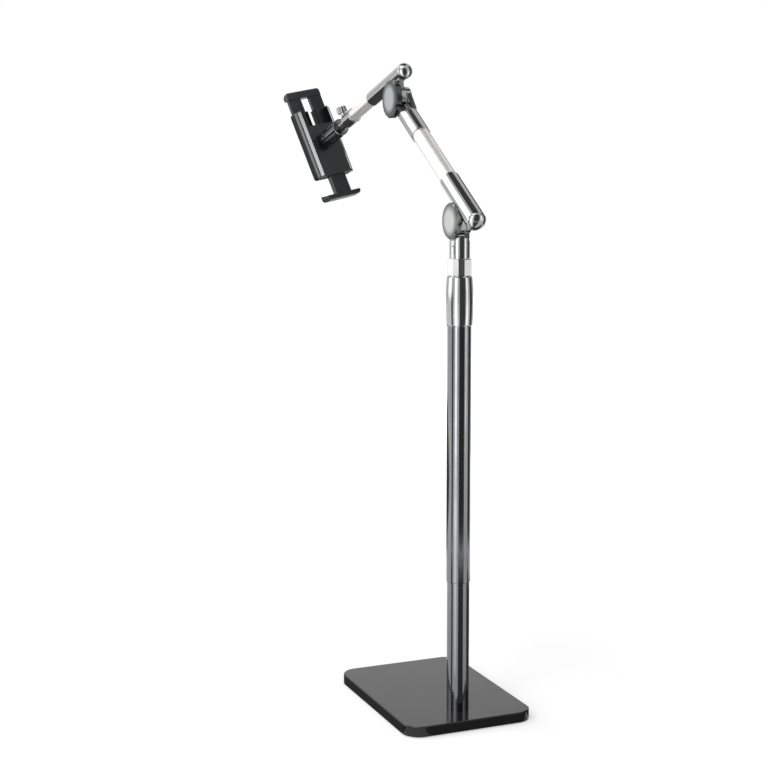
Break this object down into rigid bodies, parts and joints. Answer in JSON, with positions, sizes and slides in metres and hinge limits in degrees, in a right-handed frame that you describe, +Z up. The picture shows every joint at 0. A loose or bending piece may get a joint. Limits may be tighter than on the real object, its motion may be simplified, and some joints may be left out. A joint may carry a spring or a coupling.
{
  "type": "adjustable tablet floor stand",
  "caption": "Weighted floor stand with a telescopic pole, a two-link folding arm with clamping knobs and a sprung holder on a ball joint that grips a tablet",
  "frame": {"origin": "middle of the base's rectangle, on the floor under the feet", "axes": "+Z up the pole, -Y the way the arms reach, the pole near the +Y end of the base, +X the side with the clamping knobs"},
  "size_m": [0.185, 0.6335, 0.8862],
  "materials": {
    "gloss_black": "polished black moulding",
    "black_plastic": "fine satin black moulding",
    "black_chrome": "dark gun-metal plating",
    "bright_chrome": "polished plating",
    "satin_grey": "satin anodised",
    "steel": "zinc plated",
    "iron": "black primed slab",
    "rubber": "soft black rubber",
    "nylon": "natural nylon"
  },
  "bodies": {
    "base": {"base_cover": "gloss_black", "ballast_plate": "iron", "base_bottom": "black_plastic", "rubber_feet": "rubber", "base_screws": "steel", "pole_socket": "steel", "anchor_washer": "steel", "anchor_bolt": "steel", "lower_pole": "black_chrome", "pole_coupler": "steel", "outer_tube": "black_chrome", "pole_collet": "nylon"},
    "height_collar": {"height_collar": "black_chrome"},
    "sliding_pole": {"inner_pole": "bright_chrome", "slide_bush": "nylon", "pole_plug": "steel"},
    "swivel_ring": {"swivel_ring": "bright_chrome"},
    "swivel_head": {"swivel_head": "black_chrome", "swivel_bush": "nylon", "hinge_bolt_a": "steel"},
    "lower_arm": {"arm1_lower_fitting": "black_chrome", "arm1_tube": "bright_chrome", "arm1_upper_fitting": "black_chrome", "friction_washer_a": "nylon", "hinge_bolt_b": "steel"},
    "lower_knob": {"knob_a": "black_chrome", "knob_cap_a": "satin_grey", "knob_washer_a": "steel"},
    "upper_arm": {"arm2_near_fitting": "black_chrome", "arm2_tube": "bright_chrome", "arm2_far_fitting": "black_chrome", "friction_washer_b": "nylon"},
    "upper_knob": {"knob_b": "black_chrome", "knob_cap_b": "satin_grey", "knob_washer_b": "steel"},
    "thumb_screw": {"thumb_screw": "bright_chrome"},
    "wrist": {"wrist_spindle": "bright_chrome"},
    "ball_nut": {"ball_nut": "black_chrome"},
    "ball": {"ball_stud": "bright_chrome"},
    "holder": {"ball_mount": "black_plastic", "holder_shell": "black_plastic", "front_pad": "rubber", "mid_plate": "black_plastic", "holder_cover": "black_plastic", "holder_screws": "steel", "bevel_strips": "bright_chrome", "side_strips": "satin_grey", "jaw_spring": "steel"},
    "pinion": {"sync_pinion": "nylon"},
    "upper_jaw": {"upper_jaw": "black_plastic", "upper_jaw_pad": "rubber"},
    "lower_jaw": {"lower_jaw": "black_plastic", "lower_jaw_pad": "rubber"}
  },
  "joints": [
    {"name": "height_collar_twist", "type": "hinge", "parent": "base", "child": "height_collar", "pos_m": [0, 0.0809, 0.5675], "axis": [0, 0, 1], "range_deg": [-150, 0]},
    {"name": "height_slide", "type": "slide", "parent": "base", "child": "sliding_pole", "axis": [0, 0, 1], "range_m": [0, 0.25]},
    {"name": "swivel_ring_twist", "type": "hinge", "parent": "sliding_pole", "child": "swivel_ring", "pos_m": [0, 0.0809, 0.6114], "axis": [0, 0, 1], "range_deg": [-90, 0]},
    {"name": "head_swivel", "type": "hinge", "parent": "sliding_pole", "child": "swivel_head", "pos_m": [0, 0.0809, 0.6375], "axis": [0, 0, 1], "continuous": true},
    {"name": "lower_hinge", "type": "hinge", "parent": "swivel_head", "child": "lower_arm", "pos_m": [0, 0.0854, 0.6715], "axis": [1, 0, 0], "range_deg": [-55, 55]},
    {"name": "lower_knob_twist", "type": "hinge", "parent": "swivel_head", "child": "lower_knob", "pos_m": [0.0133, 0.0854, 0.6715], "axis": [1, 0, 0], "range_deg": [-270, 0]},
    {"name": "upper_hinge", "type": "hinge", "parent": "lower_arm", "child": "upper_arm", "pos_m": [0, -0.11221, 0.83696], "axis": [1, 0, 0], "range_deg": [-70, 40]},
    {"name": "upper_knob_twist", "type": "hinge", "parent": "lower_arm", "child": "upper_knob", "pos_m": [0.0143, -0.11221, 0.83696], "axis": [1, 0, 0], "range_deg": [-270, 0]},
    {"name": "thumb_screw_twist", "type": "hinge", "parent": "upper_arm", "child": "thumb_screw", "pos_m": [0.00413, -0.33507, 0.82754], "axis": [0.2756, -0.249, 0.9285], "range_deg": [-180, 0]},
    {"name": "wrist_roll", "type": "hinge", "parent": "upper_arm", "child": "wrist", "pos_m": [0, -0.33163, 0.81354], "axis": [0, -0.9659, -0.259], "range_deg": [-90, 90]},
    {"name": "ball_nut_twist", "type": "hinge", "parent": "wrist", "child": "ball_nut", "pos_m": [0, -0.38668, 0.79878], "axis": [0, -0.9659, -0.259], "range_deg": [-90, 0]},
    {"name": "ball_tilt", "type": "hinge", "parent": "wrist", "child": "ball", "pos_m": [0, -0.41662, 0.79075], "axis": [0.4396, -0.2326, 0.8675], "range_deg": [-38, 12]},
    {"name": "holder_turn", "type": "hinge", "parent": "ball", "child": "holder", "pos_m": [0.00267, -0.42851, 0.78621], "axis": [0.2053, -0.9143, -0.3492], "range_deg": [-90, 90]},
    {"name": "upper_jaw_slide", "type": "slide", "parent": "holder", "child": "upper_jaw", "axis": [0.2646, -0.2916, 0.9192], "range_m": [-0.022, 0.012]},
    {"name": "lower_jaw_slide", "type": "slide", "parent": "holder", "child": "lower_jaw", "axis": [-0.2646, 0.2916, -0.9192], "range_m": [-0.022, 0.012]},
    {"name": "pinion_turn", "type": "hinge", "parent": "holder", "child": "pinion", "pos_m": [-0.00417, -0.44101, 0.77768], "axis": [-0.2053, 0.9143, 0.3492], "range_deg": [-120, 215]}
  ],
  "couplings": [
    {"joint": "lower_jaw_slide", "follows": "upper_jaw_slide", "ratio": 1},
    {"joint": "pinion_turn", "follows": "upper_jaw_slide", "rad_per_m": -166.67}
  ]
}
